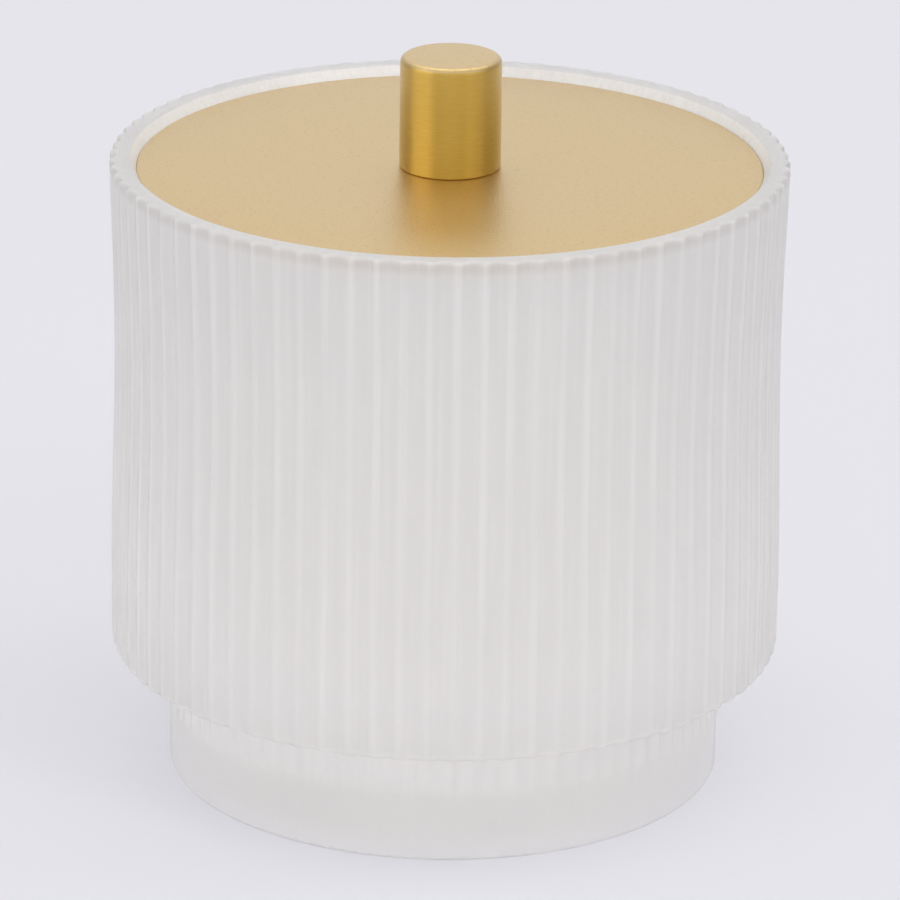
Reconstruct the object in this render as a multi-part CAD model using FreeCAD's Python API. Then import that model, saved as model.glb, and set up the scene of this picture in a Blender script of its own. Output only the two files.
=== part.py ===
import FreeCAD, Part
import math
import os

# Cotton pad holder: a fluted, frosted glass jar on a narrower foot, closed by a
# metal disc that lies on a ledge inside the mouth and lifts off by a turned knob.
# Millimetres, +Z up, origin at the middle of the foot's underside.

# Jar, outside
jar_height = 95.0
body_radius = 50.3
step_height = 19.0
step_chamfer = 1.3
foot_radius = 41.6
foot_edge_chamfer = 0.6

# Flutes down the body and the shallower ones on the top band of the foot
flute_count = 82
flute_depth = 0.65
ridge_width = 0.5
flute_turn_share = 0.37
foot_flute_depth = 0.25
foot_flute_band = 9.0

# Jar, inside and underneath
rim_wall = 3.8
lip_bevel = 1.2
ledge_width = 2.0
shoulder_thickness = 5.0
shoulder_bevel = 3.0
foot_wall = 5.5
base_thickness = 10.0
floor_bevel = 4.0
standing_ring_width = 6.0
underside_recess = 1.0

# Lid plate
lid_recess = 1.5
lid_thickness = 2.0
lid_edge_chamfer = 0.4
lid_clearance = 0.3

# Knob
knob_radius = 7.5
knob_height = 16.8
knob_top_round = 1.0
knob_foot_chamfer = 0.6
knob_hole_spare = 1.5

# Screw and washer that hold the knob from below
screw_radius = 2.0
screw_grip = 8.0
screw_hole_clearance = 0.15
screw_head_radius = 4.0
screw_head_height = 2.6
screw_head_bevel = 1.0
drive_length = 4.0
drive_width = 0.9
drive_depth = 1.4
washer_width = 2.6
washer_thickness = 0.8

# How far a cutting solid runs past the face that it cuts
overrun = 2.0

# Places that follow from the sizes above
lid_top = jar_height - lid_recess
ledge_height = lid_top - lid_thickness
mouth_radius = body_radius - rim_wall
lid_radius = mouth_radius - lid_clearance
cavity_radius = mouth_radius - ledge_width
shoulder_height = step_height + shoulder_thickness
well_radius = foot_radius - foot_wall
foot_plain_height = step_height - foot_flute_band
screw_hole_radius = screw_radius + screw_hole_clearance
washer_bottom = ledge_height - washer_thickness
screw_bottom = washer_bottom - screw_head_height
screw_top = lid_top + screw_grip


def at(radius, height, angle=0.0):
    """A point at a radius and height, turned about the jar's axis."""
    return FreeCAD.Vector(radius * math.cos(angle), radius * math.sin(angle), height)


def line(start, end):
    return Part.makeLine(at(*start), at(*end))


def quarter_arc(start, end, centre):
    """A quarter circle in the axial plane, drawn through its middle point."""
    radius = math.hypot(start[0] - centre[0], start[1] - centre[1])
    lean_r = (start[0] + end[0]) / 2 - centre[0]
    lean_z = (start[1] + end[1]) / 2 - centre[1]
    reach = radius / math.hypot(lean_r, lean_z)
    middle = (centre[0] + lean_r * reach, centre[1] + lean_z * reach)
    return Part.Arc(at(*start), at(*middle), at(*end)).toShape()


def outline(points):
    """Straight edges that join the points in turn and close the ring."""
    return [line(start, end) for start, end in zip(points, points[1:] + points[:1])]


def revolve(edges):
    """A solid of revolution about the axis from a closed chain of edges."""
    face = Part.Face(Part.Wire(edges))
    return face.revolve(FreeCAD.Vector(0, 0, 0), FreeCAD.Vector(0, 0, 1), 360)


def disc(radius, bottom, top):
    return Part.makeCylinder(radius, top - bottom, at(0, bottom))


def scalloped_wire(tip_radius, depth, height):
    """A ring of hollow flutes between narrow ridges, at one height."""
    pitch = 2 * math.pi / flute_count
    half_ridge = ridge_width / tip_radius / 2
    edges = []
    for index in range(flute_count):
        ridge = (index + flute_turn_share) * pitch - math.pi / 2
        valley = ridge + pitch / 2
        start = at(tip_radius, height, ridge - half_ridge)
        middle = at(tip_radius, height, ridge + half_ridge)
        end = at(tip_radius, height, ridge + pitch - half_ridge)
        edges.append(Part.Arc(start, at(tip_radius, height, ridge), middle).toShape())
        edges.append(Part.Arc(middle, at(tip_radius - depth, height, valley), end).toShape())
    return Part.Wire(edges)


def fluted_body():
    """The fluted body, bevelled where its wall turns in under the step."""
    ring = scalloped_wire(body_radius, flute_depth, step_height)
    wall = Part.Face(ring).extrude(at(0, jar_height - step_height))
    outer = body_radius + overrun
    bevel_in = body_radius - step_chamfer
    bevel_up = step_height + step_chamfer + overrun
    bevel = revolve(outline([
        (bevel_in, step_height),
        (outer, step_height),
        (outer, bevel_up),
    ]))
    return wall.cut(bevel)


def foot():
    """The narrower foot: plain below, with shallow flutes on its top band."""
    plain = revolve(outline([
        (0, 0),
        (foot_radius - foot_edge_chamfer, 0),
        (foot_radius, foot_edge_chamfer),
        (foot_radius, foot_plain_height),
        (0, foot_plain_height),
    ]))
    ring = scalloped_wire(foot_radius, foot_flute_depth, foot_plain_height)
    band = Part.Face(ring).extrude(at(0, foot_flute_band))
    return plain.fuse(band)


def hollow():
    """The space inside: mouth with its ledge, main room, and well in the foot."""
    lip_out = mouth_radius + lip_bevel
    lip_down = jar_height - lip_bevel
    above = jar_height + overrun
    room_in = cavity_radius - shoulder_bevel
    room_up = shoulder_height + shoulder_bevel
    well_in = well_radius - floor_bevel
    well_up = base_thickness + floor_bevel
    return revolve(outline([
        (0, base_thickness),
        (well_in, base_thickness),
        (well_radius, well_up),
        (well_radius, shoulder_height),
        (room_in, shoulder_height),
        (cavity_radius, room_up),
        (cavity_radius, ledge_height),
        (mouth_radius, ledge_height),
        (mouth_radius, lip_down),
        (lip_out, jar_height),
        (lip_out, above),
        (0, above),
    ]))


def jar():
    recess = disc(foot_radius - standing_ring_width, -overrun, underside_recess)
    return fluted_body().fuse(foot()).cut(hollow()).cut(recess)


def lid_plate():
    """The metal disc on the ledge, with a bevelled top edge and the screw's hole."""
    return revolve(outline([
        (screw_hole_radius, ledge_height),
        (lid_radius, ledge_height),
        (lid_radius, lid_top - lid_edge_chamfer),
        (lid_radius - lid_edge_chamfer, lid_top),
        (screw_hole_radius, lid_top),
    ]))


def lid_knob():
    """The turned knob: a cylinder with a round top edge and a blind hole below."""
    top = lid_top + knob_height
    round_in = knob_radius - knob_top_round
    round_down = top - knob_top_round
    foot_in = knob_radius - knob_foot_chamfer
    foot_up = lid_top + knob_foot_chamfer
    turned = revolve([
        line((0, lid_top), (foot_in, lid_top)),
        line((foot_in, lid_top), (knob_radius, foot_up)),
        line((knob_radius, foot_up), (knob_radius, round_down)),
        quarter_arc((knob_radius, round_down), (round_in, top), (round_in, round_down)),
        line((round_in, top), (0, top)),
        line((0, top), (0, lid_top)),
    ])
    return turned.cut(disc(screw_hole_radius, lid_top - overrun, screw_top + knob_hole_spare))


def screw_washer():
    outer = disc(screw_hole_radius + washer_width, washer_bottom, ledge_height)
    return outer.cut(disc(screw_hole_radius, washer_bottom - overrun, ledge_height + overrun))


def knob_screw():
    """A pan-head screw pointing up into the knob, with a cross drive in its head."""
    turned = revolve(outline([
        (0, screw_bottom),
        (screw_head_radius - screw_head_bevel, screw_bottom),
        (screw_head_radius, screw_bottom + screw_head_bevel),
        (screw_head_radius, washer_bottom),
        (screw_radius, washer_bottom),
        (screw_radius, screw_top),
        (0, screw_top),
    ]))
    for along, across in ((drive_length, drive_width), (drive_width, drive_length)):
        corner = FreeCAD.Vector(-along / 2, -across / 2, screw_bottom - overrun)
        turned = turned.cut(Part.makeBox(along, across, overrun + drive_depth, corner))
    return turned


pieces = {
    "jar": jar(),
    "lid_plate": lid_plate(),
    "lid_knob": lid_knob(),
    "screw_washer": screw_washer(),
    "knob_screw": knob_screw(),
}
os.makedirs("parts", exist_ok=True)
for name, shape in pieces.items():
    shape.exportStep("parts/" + name + ".step")
    box = shape.BoundBox
    print(name, "solids", len(shape.Solids), "valid", shape.isValid(),
          "volume %.0f" % shape.Volume, "z %.2f to %.2f" % (box.ZMin, box.ZMax))
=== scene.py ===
import math
import bpy
from mathutils import Euler, Matrix, Vector


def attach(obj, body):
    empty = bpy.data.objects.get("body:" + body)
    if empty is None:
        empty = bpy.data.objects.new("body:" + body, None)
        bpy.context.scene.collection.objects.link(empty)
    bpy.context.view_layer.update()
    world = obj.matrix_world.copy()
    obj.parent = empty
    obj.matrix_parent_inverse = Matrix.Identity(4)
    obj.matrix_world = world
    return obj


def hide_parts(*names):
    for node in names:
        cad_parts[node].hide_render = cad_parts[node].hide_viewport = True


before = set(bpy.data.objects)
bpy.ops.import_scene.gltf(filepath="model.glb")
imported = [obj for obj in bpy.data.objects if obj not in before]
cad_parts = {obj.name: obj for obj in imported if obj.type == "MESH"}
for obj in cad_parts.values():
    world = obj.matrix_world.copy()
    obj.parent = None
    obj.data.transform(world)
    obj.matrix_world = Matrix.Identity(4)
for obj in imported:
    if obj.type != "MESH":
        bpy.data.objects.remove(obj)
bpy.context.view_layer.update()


# Jar
# One heavy piece of pressed soda-lime glass. Its mould makes the flutes outside, the step
# to the foot and the ledge in the mouth; an acid bath then frosts it all over.
# Sizes are in millimetres, and mm turns them to metres.
mm = 0.001
body_radius = 50.3
jar_top = 95.0
step_height = 19.0
step_round = 1.5
step_flat_inset = 2.5
step_flute_inset = 1.2
foot_radius = 41.6
foot_edge_round = 0.6
foot_corner_round = 0.7
foot_plain_height = 9.6
foot_plain_gap = 1.0
recess_radius = 35.6
recess_height = 1.0
recess_round = 0.4
flute_count = 82
flute_depth = 0.36
rim_flute_depth = 0.65
rim_flute_run = 1.2
foot_flute_depth = 0.3
first_ridge_turn = 1.62
first_ridge = math.radians(-90 + first_ridge_turn)
ridge_share = 0.4
waist_inset = 0.72
waist_height = 68.0
waist_reach = 38.0
wall_steps = 20
rim_round = 0.5
tooth_half_reach = 0.7
tooth_reach = 1.4
lip_round = 0.4
mouth_radius = 47.0
mouth_bevel = 0.7
mouth_bevel_foot = 93.7
ledge_height = 91.5
ledge_round = 0.4
room_radius = 44.5
shoulder_height = 24.0
shoulder_fillet = 3.0
well_radius = 36.1
well_lip_round = 1.0
floor_height = 10.0
floor_fillet = 4.0
# Rings that cut the wide flats and the tall wall of the room into shorter faces.
axis_ring_radius = 12.0
room_ring_heights = (70.0, 48.0)
# How the foot's flutes deepen above its plain part: the rise, and the share of their depth.
foot_flute_start = ((0, 0.04), (0.4, 0.2), (0.8, 0.5), (1.2, 0.8), (1.6, 0.96), (2.2, 1))


def arc(radius, height, size, start, end, steps):
    """Points in millimetres on an arc in the axial plane, its angles in degrees."""
    points = []
    for step in range(steps + 1):
        angle = math.radians(start + (end - start) * step / steps)
        points.append((radius + size * math.cos(angle), height + size * math.sin(angle)))
    return points


def plain_rings(points):
    """Rings with no flutes through the points of an outline."""
    return [(radius, height, 0) for radius, height in points]


def turned_piece(name, rings, columns, closed=False):
    """A piece turned about the jar's axis, as one mesh of quads.

    A ring is (radius, height, dip) in millimetres, a column (angle, share of the dip).
    A ring of no radius is a point on the axis; a closed chain joins its two ends.
    """
    vertices = []
    ring_points = []
    for radius, height, dip in rings:
        start = len(vertices)
        if radius == 0:
            vertices.append((0, 0, height * mm))
            ring_points.append([start] * len(columns))
            continue
        for angle, share in columns:
            reach = (radius - dip * share) * mm
            vertices.append((reach * math.cos(angle), reach * math.sin(angle), height * mm))
        ring_points.append(list(range(start, len(vertices))))
    pairs = list(zip(ring_points, ring_points[1:]))
    if closed:
        pairs.append((ring_points[-1], ring_points[0]))
    faces = []
    for lower, upper in pairs:
        for column in range(len(columns)):
            after = (column + 1) % len(columns)
            corners = [lower[column], lower[after], upper[after], upper[column]]
            faces.append(list(dict.fromkeys(corners)))
    sharp_edge = math.radians(50)
    mesh = bpy.data.meshes.new(name)
    mesh.from_pydata(vertices, [], faces)
    mesh.polygons.foreach_set("use_smooth", [True] * len(mesh.polygons))
    mesh.set_sharp_from_angle(angle=sharp_edge)
    piece = bpy.data.objects.new(name, mesh)
    bpy.context.scene.collection.objects.link(piece)
    return piece


def flute_columns():
    """Columns of a fluted wall: hollow flutes that meet in narrower round ridges."""
    half_ridge = ridge_share / 2
    half_flute = (1 - ridge_share) / 2
    half_flute_steps = 3
    places = [0, half_ridge / 2, half_ridge]
    for step in range(1, 2 * half_flute_steps):
        places.append(half_ridge + half_flute * step / half_flute_steps)
    places += [1 - half_ridge, 1 - half_ridge / 2]
    valley = 0.5
    columns = []
    for flute in range(flute_count):
        for place in places:
            from_ridge = min(place, 1 - place)
            from_valley = abs(place - valley)
            if from_ridge < half_ridge:
                share = ridge_share * (from_ridge / half_ridge) ** 2
            else:
                share = 1 - (1 - ridge_share) * (from_valley / half_flute) ** 2
            angle = first_ridge + (flute + place) * 2 * math.pi / flute_count
            columns.append((angle, share))
    return columns


def waist(height):
    """How far the wall draws in between the rim and the lower body."""
    lean = (height - waist_height) / waist_reach
    return waist_inset * math.cos(lean * math.pi / 2) ** 2 if abs(lean) < 1 else 0


# The underside and the foot
foot_top = step_height - foot_corner_round
underside = [(0, recess_height), (axis_ring_radius, recess_height)]
underside.append((recess_radius - recess_round, recess_height))
underside += arc(recess_radius + recess_round, recess_round, recess_round, 180, 270, steps=4)
foot_edge_in = foot_radius - foot_edge_round
foot_edge = arc(foot_edge_in, foot_edge_round, foot_edge_round, -90, 0, steps=5)
rings = plain_rings(underside + foot_edge)
rings.append((foot_radius, foot_plain_height - foot_plain_gap, 0))
for rise, share in foot_flute_start:
    rings.append((foot_radius, foot_plain_height + rise, foot_flute_depth * share))
foot_corner_out = foot_radius + foot_corner_round
for radius, height in arc(foot_corner_out, foot_top, foot_corner_round, 180, 90, steps=4):
    rings.append((radius, height, foot_flute_depth * (step_height - height) / foot_corner_round))

# The step and the fluted wall
wall_bottom = step_height + step_round
wall_top = jar_top - rim_round
step_turn = arc(body_radius - step_round, wall_bottom, step_round, -90, 0, steps=6)
step_turn_in = step_turn[0][0]
rings.append((step_turn_in - step_flat_inset, step_height, 0))
rings.append((step_turn_in - step_flute_inset, step_height, flute_depth / 2))
rings += [(radius, height, flute_depth) for radius, height in step_turn]
for step in range(1, wall_steps):
    height = wall_bottom + (wall_top - wall_bottom) * step / wall_steps
    rings.append((body_radius - waist(height), height, flute_depth))
rim_flute_foot = wall_top - rim_flute_run
rim_flute_middle = (flute_depth + rim_flute_depth) / 2
rings.append((body_radius - waist(rim_flute_foot), rim_flute_foot, rim_flute_middle))

# The rim, whose flutes run out over its flat top, and the bevelled mouth. The upper rings
# of the outer round and of the lip take the rim's share of the painted light.
rim_rings_of_round = 2
rim_rings_of_lip = 4
rim_in = body_radius - rim_round
for radius, height in arc(rim_in, wall_top, rim_round, 0, 90, steps=5):
    rings.append((radius - waist(height), height, rim_flute_depth))
first_rim_ring = len(rings) - rim_rings_of_round
rings.append((rim_in - tooth_half_reach, jar_top, rim_flute_depth / 2))
rings.append((rim_in - tooth_reach, jar_top, 0))
first_mouth_ring = len(rings) + rim_rings_of_lip
lip_height = jar_top - lip_round
rings += plain_rings(arc(mouth_radius + lip_round, lip_height, lip_round, 90, 180, steps=6))
for height in (mouth_bevel_foot, ledge_height):
    rings.append((mouth_radius - mouth_bevel, height, 0))
frosted_rings = len(rings)

# The inside, from the ledge down to the middle of the floor
ledge_round_height = ledge_height - ledge_round
inside = arc(room_radius + ledge_round, ledge_round_height, ledge_round, 90, 180, steps=3)
inside += [(room_radius, height) for height in room_ring_heights]
fillet_in = room_radius - shoulder_fillet
fillet_height = shoulder_height + shoulder_fillet
inside += arc(fillet_in, fillet_height, shoulder_fillet, 0, -90, steps=6)
well_lip_out = well_radius + well_lip_round
inside += arc(well_lip_out, shoulder_height - well_lip_round, well_lip_round, 90, 180, steps=4)
floor_flat = well_radius - floor_fillet
inside += arc(floor_flat, floor_height + floor_fillet, floor_fillet, 0, -90, steps=6)
inside += [(axis_ring_radius, floor_height), (0, floor_height)]
rings += plain_rings(inside)
columns = flute_columns()
jar = turned_piece("frosted_jar", rings, columns)
for polygon in jar.data.polygons[frosted_rings * len(columns):]:
    polygon.material_index = 1

# Painted light, as a share at each point: most in the mouth, then on the foot's top band,
# the body's lower edge, the ridges' tips and the rim. It paints the glass whiter there:
# it lifts the shade in the mouth beside the lid and on the body's lower edge, paints the
# light that shows through the foot's band, and paints highlights along the ridges' tips.
mouth_painted_light = 0.88
rim_painted_light = 0.12
step_painted_light = 0.3
foot_band_painted_light = 0.5
ridge_highlight_reach = 0.4
ridge_highlight_mean = 0.25
ridge_highlight_change = 0.09
short_wave = 2.4
long_wave = 0.7
long_wave_start = 1.3
columns_per_flute = len(columns) // flute_count
painted_light_shares = []
for number, (radius, height, dip) in enumerate(rings):
    if radius == 0:
        painted_light_shares.append(0.0)
        continue
    ring_lift = 0.0
    if number >= first_mouth_ring:
        ring_lift = mouth_painted_light
    elif number >= first_rim_ring:
        ring_lift = rim_painted_light
    elif dip and height < foot_top:
        ring_lift = foot_band_painted_light * dip / foot_flute_depth
    elif dip and height < wall_bottom:
        ring_lift = step_painted_light
    for index, (_, share) in enumerate(columns):
        # Two waves round the jar, out of step, make each ridge's painted highlight a little unlike
        # the next.
        flute = index // columns_per_flute
        wave = math.sin(flute * short_wave) * math.sin(flute * long_wave + long_wave_start)
        strength = ridge_highlight_mean + ridge_highlight_change * wave
        near = max(0.0, 1 - share / ridge_highlight_reach) if dip else 0.0
        painted_light_shares.append(max(ring_lift, near * strength))
painted_light_attribute = jar.data.attributes.new("painted_light_share", "FLOAT", "POINT")
painted_light_attribute.data.foreach_set("value", painted_light_shares)


def linear(hex_colour):
    """An sRGB hex colour as the linear colour that a shader takes."""
    shares = [int(hex_colour[place:place + 2], 16) / 255 for place in (1, 3, 5)]
    return [c / 12.92 if c <= 0.04045 else ((c + 0.055) / 1.055) ** 2.4 for c in shares] + [1]


def add_node(tree, kind, sockets, **settings):
    """Adds one shader node, with its settings by name and its sockets by value or link."""
    node = tree.nodes.new("ShaderNode" + kind)
    for name, value in settings.items():
        setattr(node, name, value)
    for name, value in sockets.items():
        if isinstance(value, bpy.types.NodeSocket):
            tree.links.new(value, node.inputs[name])
        else:
            node.inputs[name].default_value = value
    return node


def new_material(name):
    """An empty node material."""
    material = bpy.data.materials.new(name)
    material.use_nodes = True
    material.node_tree.nodes.clear()
    return material


# Acid-frosted soda-lime glass: the etched skin scatters what passes through, so the eye
# sees a soft white body with no clear image behind it; the brighter lines on the ridges are
# painted highlights.
acid_frosted_glass = new_material("acid_frosted_soda_lime_glass")
tree = acid_frosted_glass.node_tree
place = add_node(tree, "TexCoord", {}).outputs["Object"]
# The etch pits are about 0.05 mm, too fine to show, so they are drawn 0.5 mm wide.
pit_width = 0.5
pit_depth = 0.06
cloud_width = 9.0
# Nearly all of a noise's values lie between these two.
noise_low = 0.3
noise_high = 0.7
etch_pits = add_node(tree, "TexNoise", {
    "Vector": place, "Scale": 1 / (pit_width * mm), "Detail": 2})
etch_cloud = add_node(tree, "TexNoise", {
    "Vector": place, "Scale": 1 / (cloud_width * mm), "Detail": 3})
frost = add_node(tree, "MapRange", {
    "Value": etch_cloud.outputs["Fac"], "From Min": noise_low, "From Max": noise_high,
    "To Min": 0.62, "To Max": 0.72})
# Painted light and shade by height: the glass is painted lightest on the foot, lifting the
# shade under the step, darker going up the wall, and with a painted dark line just under
# the rim for the shadow of the lid's edge seen through the glass.
step_fade = 0.4
lifted_foot_tone = "#F9F7F6"
rim_tone = "#E8E7E7"
painted_shade_by_height = (
    (step_height + step_fade, "#F2F0F0"),
    (57.0, "#EAE8E8"),
    (92.8, "#E5E4E4"),
    (94.0, "#D7D4D3"),
    (94.6, "#DDDAD9"),
)
up = add_node(tree, "SeparateXYZ", {"Vector": place})
height_share = add_node(tree, "MapRange", {
    "Value": up.outputs["Z"], "From Min": 0.0, "From Max": jar_top * mm})
white = add_node(tree, "ValToRGB", {"Fac": height_share.outputs["Result"]})
white.color_ramp.elements[0].position = (step_height - step_fade) / jar_top
white.color_ramp.elements[0].color = linear(lifted_foot_tone)
white.color_ramp.elements[1].position = 1.0
white.color_ramp.elements[1].color = linear(rim_tone)
for height, tone in painted_shade_by_height:
    white.color_ramp.elements.new(height / jar_top).color = linear(tone)
# Draining acid leaves faint upright streaks, about 0.8 mm wide; they are added to the
# painted light share, which mixes the glass towards white.
streak_width = 0.8
streak_length = 50.0
streak_change = 0.15
down_wall = add_node(tree, "Mapping", {
    "Vector": place,
    "Scale": (1 / (streak_width * mm), 1 / (streak_width * mm), 1 / (streak_length * mm))})
streaks = add_node(tree, "TexNoise", {
    "Vector": down_wall.outputs["Vector"], "Scale": 1.0, "Detail": 2})
painted_light_mask = add_node(tree, "Attribute", {}, attribute_name="painted_light_share")
uneven = add_node(tree, "MapRange", {
    "Value": streaks.outputs["Fac"], "From Min": noise_low, "From Max": noise_high,
    "To Min": -streak_change, "To Max": streak_change})
whitened = add_node(tree, "Math", {
    0: painted_light_mask.outputs["Fac"], 1: uneven.outputs["Result"]}, operation="ADD", use_clamp=True)
painted_light_colour = add_node(tree, "Mix", {
    "Factor": whitened.outputs[0], "A": white.outputs["Color"], "B": linear("#FFFEFC")},
    data_type="RGBA")
etched_skin = add_node(tree, "Bump", {
    "Height": etch_pits.outputs["Fac"], "Strength": 0.5, "Distance": pit_depth * mm})
# Where the painted light share is high, the glass lets less light through, which lightens those
# places further.
clear_share = 0.6
clear_loss = -0.2
painted_light_squared = add_node(tree, "Math", {0: painted_light_mask.outputs["Fac"], 1: 2.0}, operation="POWER")
less_clear = add_node(tree, "Math", {
    0: painted_light_squared.outputs[0], 1: clear_loss, 2: clear_share}, operation="MULTIPLY_ADD")
glass = add_node(tree, "BsdfPrincipled", {
    "Base Color": painted_light_colour.outputs["Result"], "IOR": 1.5,
    "Transmission Weight": less_clear.outputs[0],
    "Coat Weight": 0.6, "Coat Roughness": 0.35,
    "Roughness": frost.outputs["Result"], "Normal": etched_skin.outputs["Normal"]})
add_node(tree, "OutputMaterial", {"Surface": glass.outputs["BSDF"]})
jar.data.materials.append(acid_frosted_glass)

# Pressed soda-lime glass inside, lightly frosted: the plunger leaves it smoother than the
# outside, so it passes more light and only blurs what is seen through it.
pressed_glass = new_material("pressed_soda_lime_glass")
tree = pressed_glass.node_tree
place = add_node(tree, "TexCoord", {}).outputs["Object"]
ripple_width = 7.0
ripple_depth = 0.3
ripple = add_node(tree, "TexNoise", {
    "Vector": place, "Scale": 1 / (ripple_width * mm), "Detail": 2})
plunger_skin = add_node(tree, "Bump", {
    "Height": ripple.outputs["Fac"], "Strength": 0.4, "Distance": ripple_depth * mm})
glass = add_node(tree, "BsdfPrincipled", {
    "Base Color": linear("#FFFDFA"), "Transmission Weight": 0.7, "IOR": 1.5,
    "Roughness": 0.35, "Normal": plunger_skin.outputs["Normal"]})
add_node(tree, "OutputMaterial", {"Surface": glass.outputs["BSDF"]})
jar.data.materials.append(pressed_glass)
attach(jar, "jar")
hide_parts("jar")


# Lid plate
# A flat disc cut from brass plate, its edge broken, lacquered in satin gold over a
# bead-blasted face. It lies loose on the ledge in the jar's mouth.
lid_radius = 46.2
lid_top = 93.5
lid_bottom = ledge_height
lid_edge_round = 0.3
lid_bottom_round = 0.2
lid_ring_radius = 30.0
lid_column_count = 256
screw_hole_radius = 2.15


def round_columns(count):
    """Evenly spaced columns of a piece that has no flutes."""
    return [(math.radians(360 * step / count), 0) for step in range(count)]


lid_low_round = lid_bottom + lid_bottom_round
lid_high_round = lid_top - lid_edge_round
lid_flat_radii = (screw_hole_radius, axis_ring_radius, lid_ring_radius)
lid_outline = [(radius, lid_bottom) for radius in lid_flat_radii]
lid_outline += arc(lid_radius - lid_bottom_round, lid_low_round, lid_bottom_round, -90, 0, steps=3)
lid_outline += arc(lid_radius - lid_edge_round, lid_high_round, lid_edge_round, 0, 90, steps=5)
lid_outline += [(radius, lid_top) for radius in reversed(lid_flat_radii)]
lid_columns = round_columns(lid_column_count)
lid_plate = turned_piece("gold_lid_plate", plain_rings(lid_outline), lid_columns, closed=True)

# Satin gold lacquer on bead-blasted brass: the blasted grain blurs every reflection and
# speckles the face, and the clear coat adds a pale sheen at low angles.
blasted_gold = new_material("bead_blasted_brass_gold_lacquer")
tree = blasted_gold.node_tree
place = add_node(tree, "TexCoord", {}).outputs["Object"]
# Bead dimples are about 0.1 mm; they are drawn 0.35 mm wide so that the grain shows.
dimple_width = 0.35
dimple_depth = 0.06
dimples = add_node(tree, "TexNoise", {
    "Vector": place, "Scale": 1 / (dimple_width * mm), "Detail": 2})
# Here and there a bead has left a deeper, darker pit; these are drawn about 0.6 mm wide.
deep_pit_width = 0.6
deep_pit_edge = 0.44
deep_pits = add_node(tree, "TexNoise", {
    "Vector": place, "Scale": 1 / (deep_pit_width * mm), "Detail": 3})
satin_gold = add_node(tree, "ValToRGB", {"Fac": deep_pits.outputs["Fac"]})
satin_gold.color_ramp.elements[0].position = noise_low
satin_gold.color_ramp.elements[0].color = linear("#D2B273")
satin_gold.color_ramp.elements[1].position = deep_pit_edge
satin_gold.color_ramp.elements[1].color = linear("#DEBF80")
grain = add_node(tree, "Bump", {
    "Height": dimples.outputs["Fac"], "Strength": 0.8, "Distance": dimple_depth * mm})
gold = add_node(tree, "BsdfPrincipled", {
    "Base Color": satin_gold.outputs["Color"], "Metallic": 1.0, "Roughness": 0.4,
    "Normal": grain.outputs["Normal"], "Coat Normal": grain.outputs["Normal"],
    "Coat Weight": 1.0, "Coat Roughness": 0.35, "Coat IOR": 1.5})
add_node(tree, "OutputMaterial", {"Surface": gold.outputs["BSDF"]})
lid_plate.data.materials.append(blasted_gold)
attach(lid_plate, "lid")
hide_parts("lid_plate")


# Lid knob
# A plain cylinder turned from brass bar, its top edge rounded and its foot's edge broken,
# lacquered in satin gold. A screw through the plate holds it from below.
knob_radius = 7.5
knob_top = 110.3
knob_top_round = 1.0
knob_foot_round = 0.3
knob_hole_top = 103.0
knob_ring_heights = (99.0, 104.0)
knob_top_ring = 3.0
knob_column_count = 128
blasted_round_rings = 8
knob_outline = [(0, knob_hole_top), (screw_hole_radius, knob_hole_top)]
knob_outline.append((screw_hole_radius, lid_top))
knob_foot_in = knob_radius - knob_foot_round
knob_outline += arc(knob_foot_in, lid_top + knob_foot_round, knob_foot_round, -90, 0, steps=6)
knob_outline += [(knob_radius, height) for height in knob_ring_heights]
knob_top_in = knob_radius - knob_top_round
knob_outline += arc(knob_top_in, knob_top - knob_top_round, knob_top_round, 0, 90, steps=10)
turned_rings = len(knob_outline) - blasted_round_rings
knob_outline += [(knob_top_ring, knob_top), (0, knob_top)]
knob_columns = round_columns(knob_column_count)
knob = turned_piece("gold_lid_knob", plain_rings(knob_outline), knob_columns)

# Satin gold lacquer on turned brass: the tool's fine rings draw each highlight out into
# a soft upright band.
turned_gold = new_material("turned_brass_gold_lacquer")
tree = turned_gold.node_tree
place = add_node(tree, "TexCoord", {}).outputs["Object"]
# Tool marks are about 0.08 mm apart; they are drawn 0.2 mm apart and run round the knob.
mark_length = 2.5
mark_spacing = 0.2
mark_depth = 0.04
along_marks = add_node(tree, "Mapping", {
    "Vector": place,
    "Scale": (1 / (mark_length * mm), 1 / (mark_length * mm), 1 / (mark_spacing * mm))})
tool_marks = add_node(tree, "TexNoise", {
    "Vector": along_marks.outputs["Vector"], "Scale": 1.0, "Detail": 2})
mark_bump = add_node(tree, "Bump", {
    "Height": tool_marks.outputs["Fac"], "Strength": 0.4, "Distance": mark_depth * mm})
# Each mark is painted a little lighter or darker than the next: painted light and shade
# for its walls facing up or down.
mark_shaded_gold = add_node(tree, "ValToRGB", {"Fac": tool_marks.outputs["Fac"]})
mark_shaded_gold.color_ramp.elements[0].position = noise_low
mark_shaded_gold.color_ramp.elements[0].color = linear("#DBB44B")
mark_shaded_gold.color_ramp.elements[1].position = noise_high
mark_shaded_gold.color_ramp.elements[1].color = linear("#E2BD56")
round_axis = add_node(tree, "Tangent", {}, direction_type="RADIAL", axis="Z")
gold = add_node(tree, "BsdfPrincipled", {
    "Base Color": mark_shaded_gold.outputs["Color"], "Metallic": 1.0, "Roughness": 0.42,
    "Anisotropic": 0.85, "Anisotropic Rotation": 0.25,
    "Tangent": round_axis.outputs["Tangent"], "Normal": mark_bump.outputs["Normal"],
    "Coat Weight": 1.0, "Coat Roughness": 0.4, "Coat IOR": 1.5})
add_node(tree, "OutputMaterial", {"Surface": gold.outputs["BSDF"]})
knob.data.materials.append(turned_gold)
# The flat top and the upper part of its round edge are blasted like the plate.
knob.data.materials.append(blasted_gold)
for polygon in knob.data.polygons[turned_rings * len(knob_columns):]:
    polygon.material_index = 1
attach(knob, "lid")
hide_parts("lid_knob")


# Screw and washer
# A pan-head machine screw and a flat washer, both of zinc-plated steel. They come up
# through the plate from below and pull the knob down on it.

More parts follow.
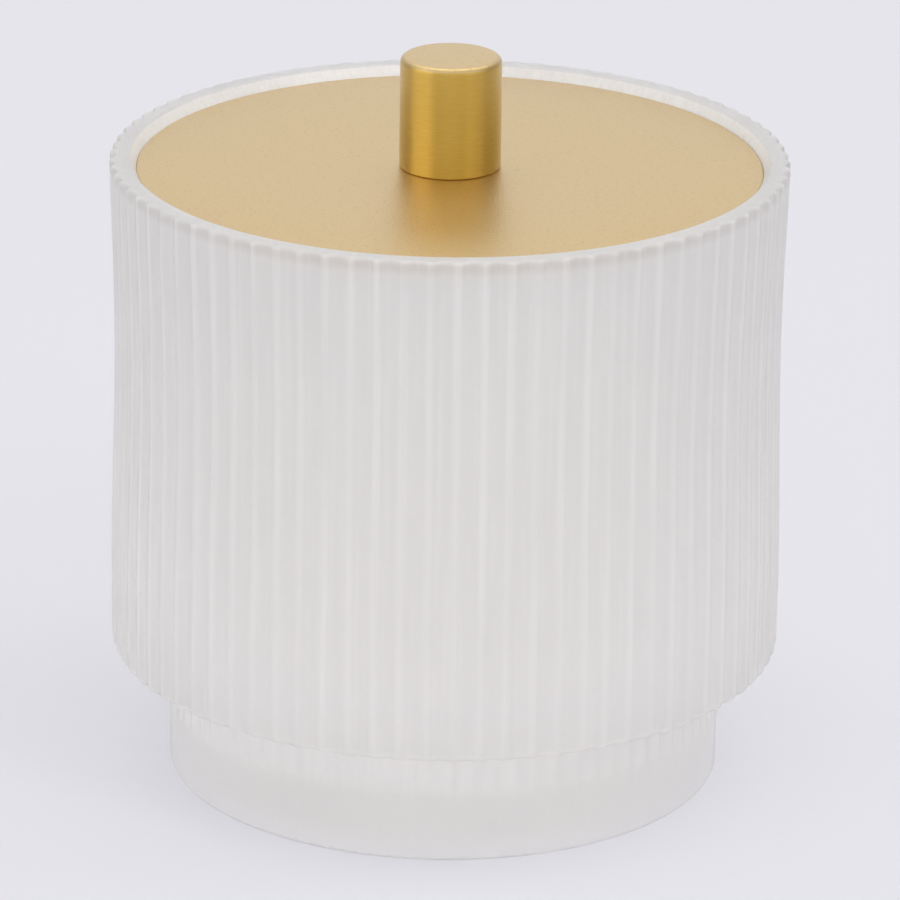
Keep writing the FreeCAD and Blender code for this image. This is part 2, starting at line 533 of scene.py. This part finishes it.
# Bright zinc plate on steel: a cool grey shine with a faint cloudiness.
zinc_plate = new_material("bright_zinc_plated_steel")
tree = zinc_plate.node_tree
place = add_node(tree, "TexCoord", {}).outputs["Object"]
spangle_width = 1.2
spangle = add_node(tree, "TexNoise", {
    "Vector": place, "Scale": 1 / (spangle_width * mm), "Detail": 3})
zinc_shine = add_node(tree, "MapRange", {
    "Value": spangle.outputs["Fac"], "From Min": noise_low, "From Max": noise_high,
    "To Min": 0.28, "To Max": 0.42})
# The bluish passivation on the zinc varies a little from place to place.
zinc_tint = add_node(tree, "ValToRGB", {"Fac": spangle.outputs["Fac"]})
zinc_tint.color_ramp.elements[0].color = linear("#B9BDC2")
zinc_tint.color_ramp.elements[1].color = linear("#CDCFCE")
steel = add_node(tree, "BsdfPrincipled", {
    "Base Color": zinc_tint.outputs["Color"], "Metallic": 1.0,
    "Roughness": zinc_shine.outputs["Result"]})
add_node(tree, "OutputMaterial", {"Surface": steel.outputs["BSDF"]})
for node in ("screw_washer", "knob_screw"):
    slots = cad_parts[node].material_slots
    slots[0].material = zinc_plate


# Floor
# A wide sheet of pale grey paper that the jar stands on. It reaches so far back that it
# fills the whole view behind the jar too.
floor_reach = 3.0
corners = [(-floor_reach, -floor_reach, 0), (floor_reach, -floor_reach, 0),
           (floor_reach, floor_reach, 0), (-floor_reach, floor_reach, 0)]
floor_mesh = bpy.data.meshes.new("paper_floor")
floor_mesh.from_pydata(corners, [], [(0, 1, 2, 3)])
floor = bpy.data.objects.new("paper_floor", floor_mesh)
bpy.context.scene.collection.objects.link(floor)

# Matt paper: an even pale field. Part of its tone is laid flat for the camera, for gloss
# and for glass, so that it stays even, and the rest takes the light and the jar's shadow.
paper_colour = linear("#F3F2F6")
flat_colour = linear("#D7D7DE")
flat_share = 0.7
matt_paper = new_material("matt_studio_paper")
tree = matt_paper.node_tree
ray = add_node(tree, "LightPath", {}).outputs
seen = add_node(tree, "Math", {
    0: ray["Is Camera Ray"], 1: ray["Is Glossy Ray"]}, operation="MAXIMUM")
seen = add_node(tree, "Math", {
    0: seen.outputs[0], 1: ray["Is Transmission Ray"]}, operation="MAXIMUM")
share = add_node(tree, "Math", {0: seen.outputs[0], 1: flat_share}, operation="MULTIPLY")
sheet = add_node(tree, "BsdfDiffuse", {"Color": paper_colour})
flat = add_node(tree, "Emission", {"Color": flat_colour, "Strength": 1.0})
blend = add_node(tree, "MixShader", {
    "Fac": share.outputs[0], 1: sheet.outputs["BSDF"], 2: flat.outputs["Emission"]})
add_node(tree, "OutputMaterial", {"Surface": blend.outputs["Shader"]})
floor_mesh.materials.append(matt_paper)


# Light
# A white studio. Metal and gloss see it bright ahead and behind and dimmer to the sides,
# and everything else sees it even all round.
room_strength = 0.74
gloss_strength_ahead = 0.82
gloss_strength_aside = 0.33
aside_reach = 0.7
world = bpy.data.worlds.new("white_studio")
world.use_nodes = True
world.node_tree.nodes.clear()
bpy.context.scene.world = world
tree = world.node_tree
direction = add_node(tree, "TexCoord", {}).outputs["Generated"]
toward = add_node(tree, "SeparateXYZ", {"Vector": direction})
sideways = add_node(tree, "Math", {0: toward.outputs["X"], 1: 2.0}, operation="POWER")
side_light = add_node(tree, "MapRange", {
    "Value": sideways.outputs[0], "From Min": 0.0, "From Max": aside_reach,
    "To Min": gloss_strength_ahead, "To Max": gloss_strength_aside})
in_metal = add_node(tree, "Background", {
    "Color": linear("#FFFFFF"), "Strength": side_light.outputs["Result"]})
around = add_node(tree, "Background", {"Color": linear("#FFFFFF"), "Strength": room_strength})
gloss = add_node(tree, "LightPath", {}).outputs["Is Glossy Ray"]
sky = add_node(tree, "MixShader", {
    "Fac": gloss, 1: around.outputs["Background"], 2: in_metal.outputs["Background"]})
add_node(tree, "OutputWorld", {"Surface": sky.outputs["Shader"]})


def soft_box(name, turn, rise, distance, width, height, power, on_metal=True, on_matt=True):
    """A rectangular lamp aimed at the jar, turned from the camera's side and raised.

    Angles are in degrees and sizes in metres. A lamp can be kept out of what metal and
    gloss mirror, or off matt surfaces.
    """
    aim_height = 60
    lamp = bpy.data.lights.new(name, "AREA")
    lamp.shape = "RECTANGLE"
    lamp.size = width
    lamp.size_y = height
    lamp.energy = power
    target = Vector((0, 0, aim_height * mm))
    turn_angle = math.radians(turn)
    rise_angle = math.radians(rise)
    way = Vector((math.sin(turn_angle) * math.cos(rise_angle),
                  -math.cos(turn_angle) * math.cos(rise_angle), math.sin(rise_angle)))
    box = bpy.data.objects.new(name, lamp)
    box.location = target + way * distance
    box.rotation_euler = way.to_track_quat("Z", "Y").to_euler()
    box.visible_camera = False
    box.visible_glossy = on_metal
    box.visible_diffuse = on_matt
    bpy.context.scene.collection.objects.link(box)


# The key makes the shadow, the front and edge boxes model the frosted body, and the left,
# right and over boxes are what the metal mirrors.
soft_box("key_box", 42, 32, 1.5, width=0.2, height=1.3, power=5, on_metal=False)
soft_box("front_box", -28, 6, 2.0, width=1.8, height=0.4, power=12, on_metal=False)
soft_box("right_edge_box", 100, 30, 1.5, width=0.8, height=0.8, power=4.2, on_metal=False)
soft_box("left_edge_box", -108, 15, 1.5, width=0.8, height=0.8, power=3.2, on_metal=False)
soft_box("left_box", -70, 25, 1.5, width=1.4, height=1.2, power=5.2, on_matt=False)
soft_box("right_box", 58, 28, 1.5, width=1.1, height=1.0, power=1.8, on_matt=False)
soft_box("top_box", 0, 85, 1.5, width=1.2, height=0.9, power=6, on_metal=False)
soft_box("over_box", 180, 70, 1.5, width=2.2, height=0.6, power=5, on_matt=False)


# Camera
# Set where the photograph was taken from: a long lens, looking down on the lid, and
# tilted by less than a degree.
camera_place = Vector((0, -0.83985, 0.35995))
camera_pitch = math.radians(20.334)
camera_yaw = math.radians(0.036)
camera_roll = math.radians(0.715)
lens = bpy.data.cameras.new("photo_camera")
lens.sensor_width = 36.0
lens.lens = 238.8
camera = bpy.data.objects.new("photo_camera", lens)
aim = Euler((math.radians(90) - camera_pitch, 0, -camera_yaw)).to_matrix().to_4x4()
roll = Matrix.Rotation(camera_roll, 4, "Z")
camera.matrix_world = Matrix.Translation(camera_place) @ aim @ roll
bpy.context.scene.collection.objects.link(camera)
bpy.context.scene.camera = camera
bpy.context.scene.view_settings.view_transform = "Standard"
